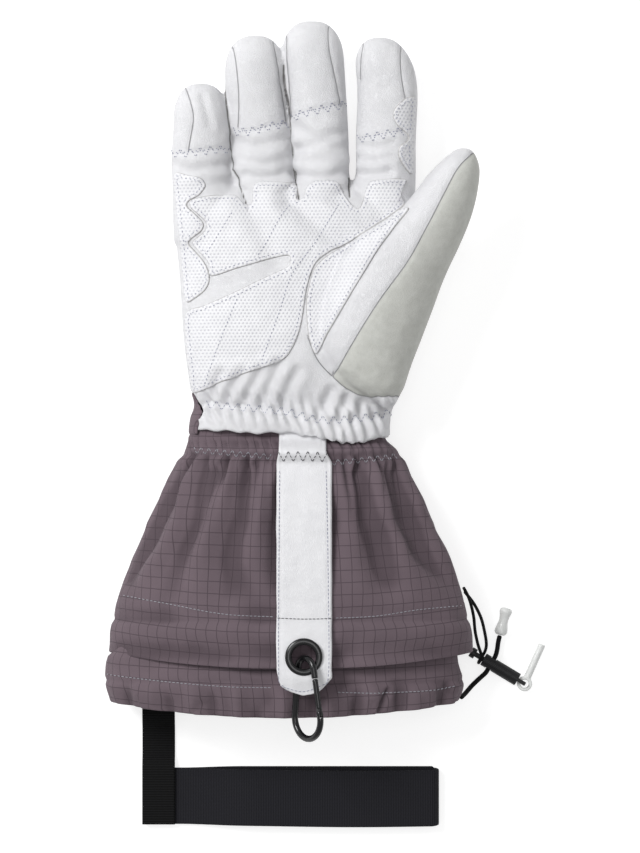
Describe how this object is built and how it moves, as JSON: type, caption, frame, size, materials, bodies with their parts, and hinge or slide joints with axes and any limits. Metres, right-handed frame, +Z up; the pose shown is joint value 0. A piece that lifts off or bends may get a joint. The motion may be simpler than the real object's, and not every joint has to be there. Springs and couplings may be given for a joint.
{
  "type": "ski glove",
  "caption": "Right-hand leather ski glove with a flared fabric gauntlet, raised palm patches, strap with eyelet and small carabiner, drawcord with cord lock, and a wrist leash.",
  "frame": {"origin": "on the surface the glove lies on, under the middle of the glove's outline, the drawcord and its lock left out", "axes": "+Y from the cuff to the fingertips, +Z up out of the palm, +X to the thumb side"},
  "size_m": [0.2213, 0.4035, 0.0691],
  "materials": {
    "leather": "soft white grained leather",
    "grip_leather": "white leather embossed with small dots",
    "fabric": "purple-grey ripstop with a fine darker grid",
    "black_metal": "glossy black coated aluminium",
    "black_plastic": "moulded black plastic",
    "cord": "black braided elastic cord",
    "clear_tab": "milky translucent soft plastic",
    "webbing": "black ribbed webbing",
    "elastic": "black woven elastic band, plain"
  },
  "bodies": {
    "root": {"palm_leather": "leather", "back_of_hand": "fabric", "finger_pinky": "leather", "finger_ring": "leather", "finger_middle": "leather", "finger_index": "leather", "thumb": "leather", "palm_patch": "grip_leather", "pinky_edge_patch": "grip_leather", "index_edge_patch": "leather", "thumb_patch": "grip_leather", "gauntlet": "fabric", "gauntlet_hem": "fabric", "strap": "leather", "eyelet": "black_metal", "carabiner_body": "black_metal", "cord_lock_barrel": "black_plastic", "drawcord": "cord", "lock_tether": "cord", "pull_tab_cord": "clear_tab", "pull_tab_lock": "clear_tab", "leash_webbing": "webbing", "leash_elastic": "elastic"},
    "gate": {"carabiner_gate": "black_metal"},
    "plunger": {"cord_lock_plunger": "black_plastic"}
  },
  "joints": [
    {"name": "gate_hinge", "type": "hinge", "parent": "root", "child": "gate", "pos_m": [0.01441, -0.14179, 0.06736], "axis": [-0.765, -0.0523, 0.6419], "range_deg": [0, 13], "stiffness_Nm_per_rad": 0.002, "springref_deg": -5.73},
    {"name": "plunger_slide", "type": "slide", "parent": "root", "child": "plunger", "axis": [0.8572, -0.515, 0], "range_m": [0, 0.0022], "stiffness_N_per_m": 300, "springref_m": -0.002}
  ]
}
